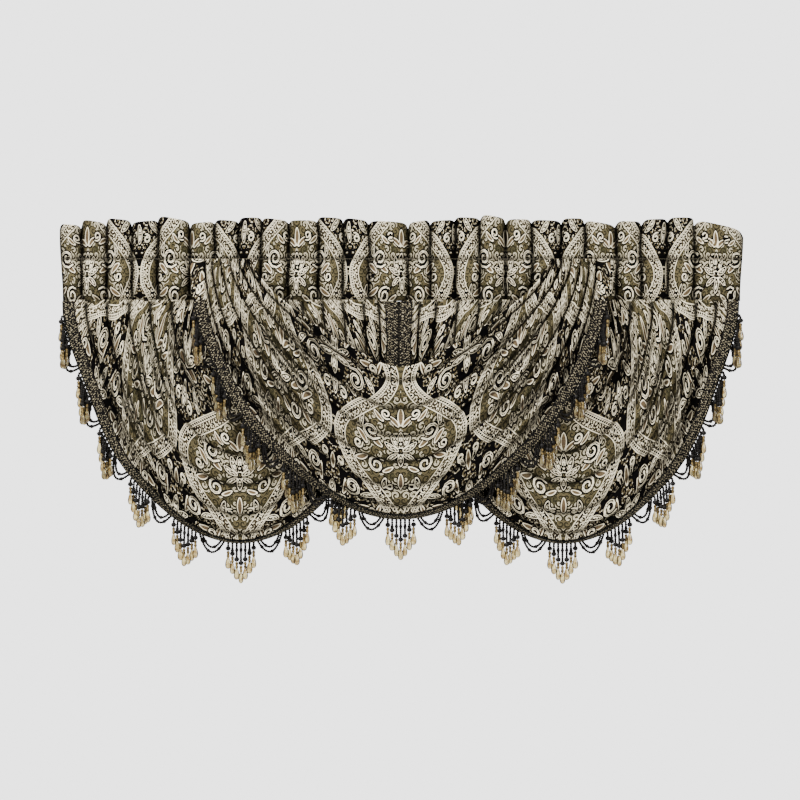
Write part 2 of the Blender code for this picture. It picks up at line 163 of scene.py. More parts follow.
def swagSurface(swag, angles, places):
    # points of the cloth: place is 0 at the neckline, 1 at the first crest, and so on to the braid
    folds = np.array(swag["folds"])
    count = len(folds)
    turn = np.radians(angles)
    side = np.where(angles <= 90, folds[:, 0:1], folds[:, 2:3])
    crests = side + (folds[:, 1:2] - side) * np.sin(turn)
    order = np.arange(count)[:, None]
    crests = crests + swagCloth["foldWander"] * np.sin(turn * (3 + order % 3) + 1.7 * order) * np.sin(turn)
    crests = np.vstack([np.zeros_like(turn), crests, np.ones_like(turn)])
    depths = np.concatenate([[swagCloth["neckDepth"]], folds[:, 3], [swagCloth["hemDepth"]]])
    index = np.minimum(places.astype(int), count)
    share = (places - index)[:, None]
    across = crests[index] + (crests[index + 1] - crests[index]) * share
    depth = depths[index][:, None] * (1 - share) + depths[index + 1][:, None] * share
    neck = reachAlong(swag["neck"], angles)
    hem = reachAlong(swag["hem"], angles, plumb=True)
    seen = np.sqrt(braidWidth ** 2 - turnedBack(swag, angles) ** 2)
    reach = neck + across * (hem - seen - neck)
    drop = reach * np.sin(turn)
    crest = np.abs(np.cos(math.pi * places))[:, None] ** (2 * swagCloth["crestRoundness"])
    lift = depth * crest * (1 - (1 - swag["flatMiddle"]) * np.sin(turn) ** 2)
    pleat = np.abs(np.cos(2 * math.pi * places))[:, None] - 0.6
    shoulders = np.sin(2 * turn) ** 2 * np.sin(math.pi * across) ** 0.5
    lift = lift + swagCloth["shoulderPleat"] * pleat * shoulders
    belly = swag["belly"] * np.sin(math.pi * places / (count + 1))[:, None] * np.sin(turn)
    loose = smoothStep((drop - swag["loosensBelow"]) / swagCloth["loosenDrop"])
    lowering = (drop - swagCloth["loosenDrop"]) / (swagCloth["lowerDrop"] - swagCloth["loosenDrop"])
    y = swag["edgeY"] - swagCloth["edgeFoldShare"] * lift * (1 - loose)
    y -= loose * (swag["standOff"] + lift + belly) + swag["lowerStandOff"] * smoothStep(lowering)
    x = swag["axisX"] - reach * np.cos(turn)
    return np.stack([x, y, swag["topZ"] - drop], axis=-1)


def hemEdge(swag, angles):
    # the inner line of the braid, and the edge that it hangs over
    inner = swagSurface(swag, angles, np.array([len(swag["folds"]) + 1.0]))[0]
    reach = reachAlong(swag["hem"], angles, plumb=True)
    turn = np.radians(angles)
    edge = np.stack([
        swag["axisX"] - reach * np.cos(turn),
        inner[:, 1] + turnedBack(swag, angles),
        swag["topZ"] - reach * np.sin(turn),
    ], axis=-1)
    return inner, edge


def neckShade(points):
    # painted shadow: the centre swag's neckline darkens what hangs just behind it
    centre = swags["centre"]
    across = centre["axisX"] - points[..., 0]
    drop = centre["topZ"] - points[..., 2]
    angles = np.clip(np.degrees(np.arctan2(drop, across)), 0, 180)
    away = reachAlong(centre["neck"], angles) - np.hypot(across, drop)
    shade = np.exp(-(away / swagCloth["neckShadeReach"]) ** 2)
    return swagCloth["neckShade"] * shade * smoothStep(drop / 0.04)


def addObject(name, data):
    piece = bpy.data.objects.new(name, data)
    bpy.context.scene.collection.objects.link(piece)
    return piece


def meshFrom(shape, name):
    mesh = bpy.data.meshes.new(name)
    shape.to_mesh(mesh)
    shape.free()
    return mesh


def makeObject(name, mesh, material, slotName, *nodes):
    piece = addObject(name, mesh)
    mesh.materials.append(material)
    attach(piece, "root")
    if nodes:
        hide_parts(*nodes)
    return piece


def sheetMesh(name, points, flat):
    # a grid carried onto rows and columns of points, with its flat cut as the UV map
    rows, columns = points.shape[:2]
    sheet = bmesh.new()
    bmesh.ops.create_grid(sheet, x_segments=columns - 1, y_segments=rows - 1, size=1)
    mesh = meshFrom(sheet, name)
    mesh.vertices.foreach_set("co", points.astype(np.float32).ravel())
    corners = np.zeros(len(mesh.loops), dtype=np.int32)
    mesh.loops.foreach_get("vertex_index", corners)
    cut = mesh.uv_layers.new(name="flatCut")
    cut.uv.foreach_set("vector", flat.reshape(-1, 2)[corners].astype(np.float32).ravel())
    mesh.shade_smooth()
    mesh.update()
    return mesh


def addLayer(mesh, name, values):
    layer = mesh.attributes.new(name, "FLOAT", "POINT")
    layer.data.foreach_set("value", values.astype(np.float32).ravel())


def addPattern(mesh, flat, paintedShade):
    # how far each point of the flat cloth lies from the woven motifs' outlines, and how much painted shade
    # it takes in folds, pleat grooves and below the neckline
    for name, distances in motifDistances(flat.reshape(-1, 2)).items():
        addLayer(mesh, name, distances)
    addLayer(mesh, "paintedFoldShade", paintedShade)


def orderedShape(shape):
    # a shape's points and faces, in an order that is the same in every run
    verts = sorted(shape.verts, key=lambda vert: tuple(round(value, 5) for value in vert.co))
    indices = {vert: index for index, vert in enumerate(verts)}
    faces = []
    for face in shape.faces:
        corners = [indices[vert] for vert in face.verts]
        first = corners.index(min(corners))
        faces.append(corners[first:] + corners[:first])
    return np.array([vert.co for vert in verts]), sorted(faces)


def joinCopies(mesh, shape, places, sizes):
    # one shape copied to many places, as a single mesh
    points, faces = orderedShape(shape)
    corners = np.array([index for face in faces for index in face], dtype=np.int32)
    counts = np.array([len(face) for face in faces], dtype=np.int32)
    places = np.array(places, dtype=float)
    sizes = np.array(sizes, dtype=float)
    copies = len(places)
    allPoints = points[None] * sizes[:, None] + places[:, None]
    steps = (np.arange(copies) * len(points))[:, None]
    totals = np.tile(counts, copies)
    mesh.vertices.add(allPoints.size // 3)
    mesh.vertices.foreach_set("co", allPoints.astype(np.float32).ravel())
    mesh.loops.add(len(corners) * copies)
    mesh.loops.foreach_set("vertex_index", (corners[None] + steps).astype(np.int32).ravel())
    mesh.polygons.add(len(totals))
    starts = np.concatenate([[0], np.cumsum(totals)[:-1]]).astype(np.int32)
    mesh.polygons.foreach_set("loop_start", starts)
    mesh.update(calc_edges=True)
    mesh.validate()


# woven pattern: an ogee lattice of olive and black medallions with scrolls and leaves

pattern = {
    "width": 0.360,
    "height": 0.400,
    "waist": 0.78,
}

# curls: medallion, centre, outer and inner radius, start angle, turns, thick and thin half-width
curls = (
    ("olive", 0.074, 0.040, 0.027, 0.006, 215, 1.55, 0.0034, 0.0016),
    ("olive", 0.060, -0.052, 0.023, 0.006, 140, -1.45, 0.0032, 0.0016),
    ("olive", 0.108, -0.006, 0.013, 0.004, 160, 1.30, 0.0026, 0.0014),
    ("olive", 0.036, 0.096, 0.014, 0.004, 230, 1.30, 0.0026, 0.0014),
    ("olive", 0.026, -0.108, 0.012, 0.004, 120, -1.20, 0.0026, 0.0014),
    ("black", 0.056, 0.058, 0.024, 0.006, 220, 1.50, 0.0036, 0.0018),
    ("black", 0.062, -0.046, 0.026, 0.006, 130, -1.55, 0.0036, 0.0018),
    ("black", 0.108, 0.012, 0.014, 0.004, 200, 1.30, 0.0030, 0.0016),
    ("black", 0.022, 0.118, 0.012, 0.004, 240, 1.20, 0.0028, 0.0015),
    ("black", 0.024, -0.112, 0.013, 0.004, 120, -1.20, 0.0028, 0.0015),
)

# leaves: medallion, foot, direction, length, half-width, bend, and the tone of their thread
leaves = (
    ("olive", 0.000, 0.010, 90, 0.046, 0.0085, 0, "ivory"),
    ("olive", 0.006, 0.008, 52, 0.042, 0.0075, 14, "ivory"),
    ("olive", 0.008, 0.000, 14, 0.038, 0.0070, 14, "ivory"),
    ("olive", 0.008, -0.010, -24, 0.034, 0.0065, -12, "ivory"),
    ("olive", 0.000, -0.012, -90, 0.038, 0.0080, 0, "ivory"),
    ("olive", 0.000, 0.074, 90, 0.044, 0.0080, 0, "taupe"),
    ("olive", 0.006, 0.070, 58, 0.036, 0.0062, -16, "taupe"),
    ("olive", 0.048, 0.006, 24, 0.044, 0.0080, 20, "taupe"),
    ("olive", 0.086, 0.004, 62, 0.036, 0.0070, -18, "taupe"),
    ("olive", 0.100, 0.046, 78, 0.034, 0.0060, 18, "ivory"),
    ("olive", 0.084, -0.034, -52, 0.038, 0.0070, 20, "taupe"),
    ("olive", 0.038, -0.082, -70, 0.038, 0.0068, -14, "ivory"),
    ("olive", 0.000, -0.070, -90, 0.046, 0.0072, 0, "taupe"),
    ("olive", 0.044, 0.078, 24, 0.032, 0.0058, 16, "taupe"),
    ("olive", 0.020, -0.052, -42, 0.030, 0.0055, 12, "taupe"),
    ("olive", 0.118, -0.026, -80, 0.030, 0.0052, 0, "ivory"),
    ("black", 0.000, -0.004, 90, 0.052, 0.0100, 0, "ivory"),
    ("black", 0.005, -0.004, 54, 0.044, 0.0085, -18, "ivory"),
    ("black", 0.006, -0.010, 16, 0.044, 0.0080, -16, "taupe"),
    ("black", 0.006, -0.016, -26, 0.040, 0.0074, 14, "ivory"),
    ("black", 0.000, -0.018, -90, 0.044, 0.0090, 0, "ivory"),
    ("black", 0.032, 0.028, 62, 0.042, 0.0068, 20, "taupe"),
    ("black", 0.082, 0.046, 40, 0.038, 0.0070, -20, "ivory"),
    ("black", 0.076, 0.016, -8, 0.036, 0.0064, 16, "taupe"),
    ("black", 0.090, -0.028, -30, 0.038, 0.0066, -20, "ivory"),
    ("black", 0.036, -0.068, -66, 0.042, 0.0074, 16, "ivory"),
    ("black", 0.000, 0.076, 90, 0.052, 0.0080, 0, "taupe"),
    ("black", 0.012, 0.088, 56, 0.030, 0.0056, 16, "ivory"),
    ("black", 0.000, -0.078, -90, 0.050, 0.0080, 0, "ivory"),
    ("black", 0.012, -0.094, -50, 0.030, 0.0056, -14, "taupe"),
    ("black", 0.122, 0.006, 84, 0.034, 0.0052, -10, "taupe"),
)


def curlLine(curl):
    _, x, y, big, small, start, turns, wide, thin = curl
    shares = np.linspace(0, 1, 15)
    angles = np.radians(start + 360 * turns * shares)
    radii = big + (small - big) * shares ** 0.8
    line = np.stack([x + radii * np.cos(angles), y + radii * np.sin(angles)], axis=-1)
    widths = thin + (wide - thin) * np.sin(math.pi * np.clip(shares * 0.9 + 0.1, 0, 1)) ** 0.6
    widths[-1] = wide  # the curl ends in a round bead
    return line, widths


def leafLine(leaf):
    _, x, y, direction, length, wide, bend, _ = leaf
    shares = np.linspace(0, 1, 7)
    angles = np.radians(direction + bend * shares * 2)
    steps = np.stack([np.cos(angles), np.sin(angles)], axis=-1) * length / 6
    line = np.array([x, y]) + np.cumsum(steps, axis=0) - steps[0]
    return line, wide * np.sin(math.pi * (0.12 + 0.88 * shares)) ** 0.7 + 0.0004


def lineDistance(across, along, line, widths, nearest):
    # lowers nearest to the distance from a line whose half-width changes along it
    for (x0, y0), (x1, y1), w0, w1 in zip(line, line[1:], widths, widths[1:]):
        dx, dy = x1 - x0, y1 - y0
        share = np.clip(((across - x0) * dx + (along - y0) * dy) / (dx * dx + dy * dy), 0, 1)
        gap = np.hypot(across - x0 - dx * share, along - y0 - dy * share)
        np.minimum(nearest, gap - w0 - (w1 - w0) * share, out=nearest)


def motifDistances(flat):
    width, height = pattern["width"], pattern["height"]
    half = width / 2
    across = np.abs((flat[:, 0] + half) % width - half)
    along = (flat[:, 1] + height / 2) % height - height / 2
    blackAcross = half - across
    blackAlong = (flat[:, 1]) % height - height / 2
    # the ogee outline between the two kinds of medallion, less than zero in the olive ones
    slope = 2 * math.pi / height
    outline = width / 4 * (1 + pattern["waist"] * np.cos(slope * along))
    lean = width / 4 * pattern["waist"] * slope * np.sin(slope * along)
    ogee = (across - outline) / np.sqrt(1 + lean ** 2)
    distances = {"ivory": np.full(len(flat), 0.03), "taupe": np.full(len(flat), 0.03)}
    places = {"olive": (across, along), "black": (blackAcross, blackAlong)}
    for curl in curls:
        line, widths = curlLine(curl)
        lineDistance(*places[curl[0]], line, widths, distances["ivory"])
    for leaf in leaves:
        line, widths = leafLine(leaf)
        lineDistance(*places[leaf[0]], line, widths, distances[leaf[-1]])
    return {"ogee": ogee, "ivoryMotif": distances["ivory"], "taupeMotif": distances["taupe"]}


# node helpers

def tone(code):
    # a linear colour from its hex code
    parts = [int(code[index:index + 2], 16) / 255 for index in (0, 2, 4)]
    return tuple(((part + 0.055) / 1.055) ** 2.4 if part > 0.04 else part / 12.92 for part in parts) + (1,)


def addNode(tree, kind, **settings):
    node = tree.nodes.new(kind)
    count = len(tree.nodes)
    node.location = (count // 6 * 220, -(count % 6) * 190)
    for name, value in settings.items():
        setattr(node, name, value)
    return node


def feed(tree, socket, value):
    if isinstance(value, bpy.types.NodeSocket):
        tree.links.new(value, socket)
    else:
        socket.default_value = value


def feedAll(tree, node, values):
    for name, value in values.items():
        feed(tree, node.inputs[name], value)


def calc(tree, operation, *values):
    node = addNode(tree, "ShaderNodeMath", operation=operation)
    for socket, value in zip(node.inputs, values):
        feed(tree, socket, value)
    return node.outputs[0]


def stepUp(tree, value, low, high):
    # 0 below low, 1 above high
    node = addNode(tree, "ShaderNodeMapRange", interpolation_type="SMOOTHSTEP")
    feed(tree, node.inputs["Value"], value)
    node.inputs["From Min"].default_value = low
    node.inputs["From Max"].default_value = high
    return node.outputs["Result"]


def inBand(tree, value, low, high, soft=0.0004):
    rise = stepUp(tree, value, low - soft, low + soft)
    fall = stepUp(tree, value, high - soft, high + soft)
    return calc(tree, "SUBTRACT", rise, fall)


def splitVector(tree, vector):
    node = addNode(tree, "ShaderNodeSeparateXYZ")
    feed(tree, node.inputs[0], vector)
    return node.outputs


def splitColour(tree, colour):
    node = addNode(tree, "ShaderNodeSeparateColor")
    feed(tree, node.inputs[0], colour)
    return node.outputs


def addNoise(tree, place, scale, detail=2.0, dimensions="2D"):
    node = addNode(tree, "ShaderNodeTexNoise", noise_dimensions=dimensions)
    feedAll(tree, node, {"Vector": place, "Scale": scale, "Detail": detail})
    return node.outputs[0]


def addBump(tree, shader, height, strength, distance):
    node = addNode(tree, "ShaderNodeBump")
    feedAll(tree, node, {"Height": height, "Strength": strength, "Distance": distance})
    feed(tree, shader.inputs["Normal"], node.outputs[0])


def readLayer(tree, name):
    return addNode(tree, "ShaderNodeAttribute", attribute_name=name).outputs["Fac"]


def blendTones(tree, factor, first, second):
    node = addNode(tree, "ShaderNodeMix", data_type="RGBA")
    feed(tree, node.inputs[0], factor)
    feed(tree, node.inputs[6], first)
    feed(tree, node.inputs[7], second)
    return node.outputs[2]


def newGroup(name, inputs, outputs):
    group = bpy.data.node_groups.new(name, "ShaderNodeTree")
    for label, kind in inputs:
        group.interface.new_socket(label, in_out="INPUT", socket_type=kind)
    for label, kind in outputs:
        group.interface.new_socket(label, in_out="OUTPUT", socket_type=kind)
    start = addNode(group, "NodeGroupInput")
    end = addNode(group, "NodeGroupOutput")
    return group, start.outputs, end.inputs


def placeGroup(tree, group, **values):
    node = addNode(tree, "ShaderNodeGroup", node_tree=group)
    feedAll(tree, node, values)
    return node.outputs


def newMaterial(name):
    material = bpy.data.materials.new(name)
    material.use_nodes = True
    tree = material.node_tree
    return material, tree, tree.nodes["Principled BSDF"]


def makeWeaveGroup():
    # crossed threads, with some a little thicker or thinner than the rest
    group, given, result = newGroup(
        "crossedThreads",
        (("Place", "NodeSocketVector"), ("Thread", "NodeSocketFloat")),
        (("Height", "NodeSocketFloat"), ("Slub", "NodeSocketFloat")),
    )
    split = splitVector(group, given["Place"])
    frequency = calc(group, "DIVIDE", 2 * math.pi, given["Thread"])
    warp, weft = (
        calc(group, "SINE", calc(group, "MULTIPLY", split[axis], frequency)) for axis in range(2)
    )
    feed(group, result["Height"], calc(group, "MULTIPLY", warp, weft))
    stretch = addNode(group, "ShaderNodeMapping")
    feedAll(group, stretch, {"Scale": (60, 900, 1), "Vector": given["Place"]})
    feed(group, result["Slub"], addNoise(group, stretch.outputs[0], 1.0))
    return group


def makeCurlGroup():
    # small woven curls: a spiral in every cell
    group, given, result = newGroup(
        "wovenCurls",
        (("Place", "NodeSocketVector"), ("Cells", "NodeSocketFloat"), ("Windings", "NodeSocketFloat")),
        (("Curl", "NodeSocketFloat"), ("Cell", "NodeSocketColor")),
    )
    cells = addNode(group, "ShaderNodeTexVoronoi", voronoi_dimensions="2D", feature="F1")
    feedAll(group, cells, {"Vector": given["Place"], "Scale": given["Cells"], "Randomness": 0.85})
    scaled = addNode(group, "ShaderNodeVectorMath", operation="SUBTRACT")
    feed(group, scaled.inputs[0], given["Place"])
    feed(group, scaled.inputs[1], cells.outputs["Position"])
    split = splitVector(group, scaled.outputs[0])
    turn = calc(group, "ARCTAN2", split[1], split[0])
    random = splitColour(group, cells.outputs["Color"])
    hand = calc(group, "SIGN", calc(group, "SUBTRACT", random[0], 0.5))
    phase = calc(group, "MULTIPLY", random[1], 2 * math.pi)
    swing = calc(group, "MULTIPLY_ADD", calc(group, "MULTIPLY", turn, hand), 1.0, phase)
    wound = calc(group, "MULTIPLY", cells.outputs["Distance"], given["Windings"])
    feed(group, result["Curl"], calc(group, "SINE", calc(group, "ADD", wound, swing)))
    feed(group, result["Cell"], cells.outputs["Color"])
    return group


weaveGroup = makeWeaveGroup()
curlGroup = makeCurlGroup()

clothTones = {
    "charcoal": tone("0d0b0b"),
    "black": tone("060505"),
    "ivory": tone("fcefcd"),
    "olive": tone("57523a"),
    "deepOlive": tone("34301f"),
    "taupe": tone("6c6045"),
    "rose": tone("5f4f3d"),
    "roughness": 0.88,
    "bandHalf": 0.0155,
    "hollowShade": 0.95,
    "threadSize": 0.0011,
    "fineCells": 84.0,
    "fineWindings": 9.5,
    "middleCells": 52.0,
    "middleWindings": 12.5,
    "plainCells": (0.22, 0.24),  # share of the cells without a curl
    "dullCells": (0.52, 0.54),  # share of the curls without ivory
    "speckScale": 420.0,
    "dotPitch": 0.0060,
    "dotFromMiddle": 0.0090,
}


def makeClothMaterial():
    material, tree, shader = newMaterial("medallionCloth")
    cut = addNode(tree, "ShaderNodeUVMap", uv_map="flatCut").outputs[0]
    split = splitVector(tree, cut)
    mirrored = calc(tree, "PINGPONG", split[0], pattern["width"] / 2)
    place = addNode(tree, "ShaderNodeCombineXYZ")
    feedAll(tree, place, {"X": mirrored, "Y": split[1]})
    place = place.outputs[0]
    ogee = readLayer(tree, "ogee")
    ivory = readLayer(tree, "ivoryMotif")
    taupe = readLayer(tree, "taupeMotif")
    inIvory = calc(tree, "MULTIPLY", ivory, -1)
    inTaupe = calc(tree, "MULTIPLY", taupe, -1)
    tones = clothTones
    half = tones["bandHalf"]

    # small curls and the finest scribble
    fine, middle = (
        placeGroup(
            tree, curlGroup, Place=place, Cells=tones[f"{kind}Cells"], Windings=tones[f"{kind}Windings"],
        )
        for kind in ("fine", "middle")
    )
    fineLine = stepUp(tree, fine["Curl"], 0.42, 0.62)
    middleLine = inBand(tree, middle["Curl"], 0.10, 0.85, 0.12)
    middleCell = splitColour(tree, middle["Cell"])
    chosen = stepUp(tree, middleCell[2], *tones["plainCells"])
    bright = stepUp(tree, middleCell[0], *tones["dullCells"])

    # grounds of the two kinds of medallion
    speckled = stepUp(tree, addNoise(tree, place, tones["speckScale"], 3.0), 0.42, 0.62)
    olive = blendTones(tree, speckled, tones["deepOlive"], tones["olive"])
    paleCurl = calc(tree, "MULTIPLY", middleLine, chosen)
    darkCurl = inBand(tree, middle["Curl"], -0.95, -0.35, 0.15)
    olive = blendTones(tree, calc(tree, "MULTIPLY", darkCurl, 0.85), olive, tones["charcoal"])
    ivoryCurl = inBand(tree, middle["Curl"], 0.35, 0.85, 0.10)
    olive = blendTones(tree, calc(tree, "MULTIPLY", paleCurl, 0.85), olive, tones["taupe"])
    olive = blendTones(tree, calc(tree, "MULTIPLY", ivoryCurl, bright), olive, tones["ivory"])
    black = blendTones(tree, calc(tree, "MULTIPLY", speckled, 0.5), tones["black"], tones["charcoal"])
    vines = calc(tree, "MULTIPLY", inBand(tree, middle["Curl"], 0.45, 0.95, 0.10), chosen)
    black = blendTones(tree, vines, black, blendTones(tree, fineLine, tones["taupe"], tones["ivory"]))
    onBlack = stepUp(tree, ogee, -0.001, 0.001)
    ground = blendTones(tree, onBlack, olive, black)

    # taupe leaves: dark outline, ivory rim, speckled heart
    ground = blendTones(tree, inBand(tree, taupe, -0.0006, 0.0025), ground, tones["black"])
    heart = blendTones(tree, fineLine, tones["rose"], tones["taupe"])
    heart = blendTones(tree, stepUp(tree, taupe, -0.0030, -0.0022), heart, tones["ivory"])
    ground = blendTones(tree, stepUp(tree, inTaupe, 0.0002, 0.0008), ground, heart)

    # ivory scrolls and leaves: dark outline, ivory body, a vein of dark specks
    ground = blendTones(tree, inBand(tree, ivory, -0.0006, 0.0028), ground, tones["black"])
    darkFine = stepUp(tree, calc(tree, "MULTIPLY", fine["Curl"], -1), 0.0, 0.3)
    vein = calc(tree, "MULTIPLY", stepUp(tree, inIvory, 0.0015, 0.0022), darkFine)
    body = blendTones(tree, vein, tones["ivory"], tones["charcoal"])
    inner = inBand(tree, ivory, -0.0042, -0.0022, 0.0003)
    body = blendTones(tree, inner, body, tones["black"])
    ground = blendTones(tree, stepUp(tree, inIvory, 0.0002, 0.0008), ground, body)

    # the band between medallions: ivory scribble, a row of dots, and an outline on each side
    distance = calc(tree, "ABSOLUTE", ogee)
    scribble = blendTones(tree, fineLine, tones["charcoal"], tones["ivory"])
    scribble = blendTones(tree, calc(tree, "MULTIPLY", paleCurl, 0.55), scribble, tones["taupe"])
    dotPitch = tones["dotPitch"]
    dotAlong = calc(tree, "SUBTRACT", calc(tree, "PINGPONG", split[1], dotPitch), dotPitch / 2)
    dotAcross = calc(tree, "SUBTRACT", ogee, tones["dotFromMiddle"])
    squares = (calc(tree, "POWER", dotAlong, 2), calc(tree, "POWER", dotAcross, 2))
    dotReach = calc(tree, "SQRT", calc(tree, "ADD", *squares))
    for line, low, high, name in (
        (dotAcross, -0.0040, 0.0042, "ivory"),
        (dotReach, -1.0, 0.0025, "black"),
        (dotAcross, -0.0052, -0.0038, "charcoal"),
        (distance, half - 0.0030, half - 0.0016, "black"),
    ):
        scribble = blendTones(tree, inBand(tree, line, low, high), scribble, tones[name])
    outside = stepUp(tree, distance, half - 0.0005, half + 0.0005)
    ground = blendTones(tree, outside, scribble, ground)
    outline = inBand(tree, distance, half - 0.0016, half + 0.0004)
    ground = blendTones(tree, outline, ground, tones["ivory"])

    # threads
    weave = placeGroup(tree, weaveGroup, Place=cut, Thread=tones["threadSize"])
    # painted shade read from the points' layer, multiplied with the slubbed threads' own tone, darkens the
    # colour in folds, pleat grooves and below the neckline
    paintedShadeFactor = calc(tree, "MULTIPLY_ADD", readLayer(tree, "paintedFoldShade"), -tones["hollowShade"], 1.0)
    shade = calc(tree, "MULTIPLY", calc(tree, "MULTIPLY_ADD", weave["Slub"], 0.36, 0.80), paintedShadeFactor)
    tinted = addNode(tree, "ShaderNodeMix", data_type="RGBA", blend_type="MULTIPLY")
    tinted.inputs[0].default_value = 1.0
    feed(tree, tinted.inputs[6], ground)
    feed(tree, tinted.inputs[7], shade)
    raised = stepUp(tree, inIvory, -0.0004, 0.0014)
    height = calc(tree, "MULTIPLY_ADD", raised, 1.2, calc(tree, "MULTIPLY", weave["Height"], 0.35))
    addBump(tree, shader, calc(tree, "MULTIPLY_ADD", fineLine, -0.35, height), 0.5, 0.0006)
    feedAll(tree, shader, {
        "Base Color": tinted.outputs[2],
        "Roughness": calc(tree, "MULTIPLY_ADD", weave["Slub"], 0.16, tones["roughness"] - 0.1),
        "Specular IOR Level": 0.03,
    })
    return material


clothMaterial = makeClothMaterial()


# heading: pocket, ruffled header folded over at its top, and the pocket's back

heading = {
    "grooveY": -0.0150,
    "facingY": 0.0150,
    "scallop": 0.0115,
    "lap": 0.0045,
    "drawnIn": 0.0080,
    "stepsPerPleat": 24,
    "pocketRows": 27,
    "headerRows": 28,
    "foldRows": 5,
    "backRows": 16,
    "facingRows": 20,
    "foldRadius": 0.0030,
    "fullness": 1.40,  # flat cloth to gathered cloth
    "patternZ": 0.010,
    "backGap": 0.0016,  # from the front's cloth to the back's
    "headerRun": 0.092,  # cloth in the header, over its fold and in the facing
    "foldRun": 0.008,
    "facingRun": 0.104,
    "headerPlaces": (0, 0.12, 0.55, 1),  # how full the pleats are on the way up the header
    "frontFullness": (0.30, 0.58, 0.90, 1.05),
    "backFullness": (0.24, 0.50, 0.84, 1.05),
    "halfWidth": 0.8415,
}

# width, top and depth of every pleat, and how far its top rises from left to right
pleats = (
    (0.054, 0.132, 0.017, -0.005), (0.064, 0.140, 0.021, -0.010), (0.061, 0.145, 0.020, -0.006),
    (0.064, 0.140, 0.022, 0.006), (0.078, 0.147, 0.023, -0.014), (0.061, 0.137, 0.019, 0.006),
    (0.059, 0.142, 0.021, -0.005), (0.056, 0.149, 0.018, 0.000), (0.066, 0.145, 0.022, -0.008),
    (0.074, 0.142, 0.023, 0.000), (0.061, 0.149, 0.020, -0.004), (0.064, 0.145, 0.019, -0.008),
    (0.096, 0.139, 0.024, -0.006), (0.054, 0.140, 0.018, 0.008), (0.061, 0.142, 0.021, 0.004),
    (0.061, 0.149, 0.020, -0.003), (0.064, 0.152, 0.022, -0.012), (0.064, 0.145, 0.019, 0.000),
    (0.071, 0.142, 0.023, -0.003), (0.059, 0.147, 0.018, 0.000), (0.078, 0.136, 0.023, -0.014),
    (0.061, 0.140, 0.020, -0.002), (0.064, 0.145, 0.021, 0.002), (0.066, 0.149, 0.022, 0.000),
    (0.121, 0.131, 0.020, -0.028),
)


def pleatColumns():
    # place along the rod, share of the pleat, its top, depth and rise
    table = []
    left = -sum(pleat[0] for pleat in pleats) / 2
    for width, top, depth, rise in pleats:
        for step in range(heading["stepsPerPleat"]):
            share = step / heading["stepsPerPleat"]
            table.append((left + width * share, share, top, depth, rise))
        left += width
    table.append((left, 1.0, *pleats[-1][1:]))
    return np.array(table).T


def ripple(x, z, seed):
    # soft unevenness, from -1 to 1
    flatX, flatZ = x.ravel(), z.ravel()
    values = [noise.noise(Vector((a, b, seed))) for a, b in zip(flatX, flatZ)]
    return np.array(values).reshape(x.shape)


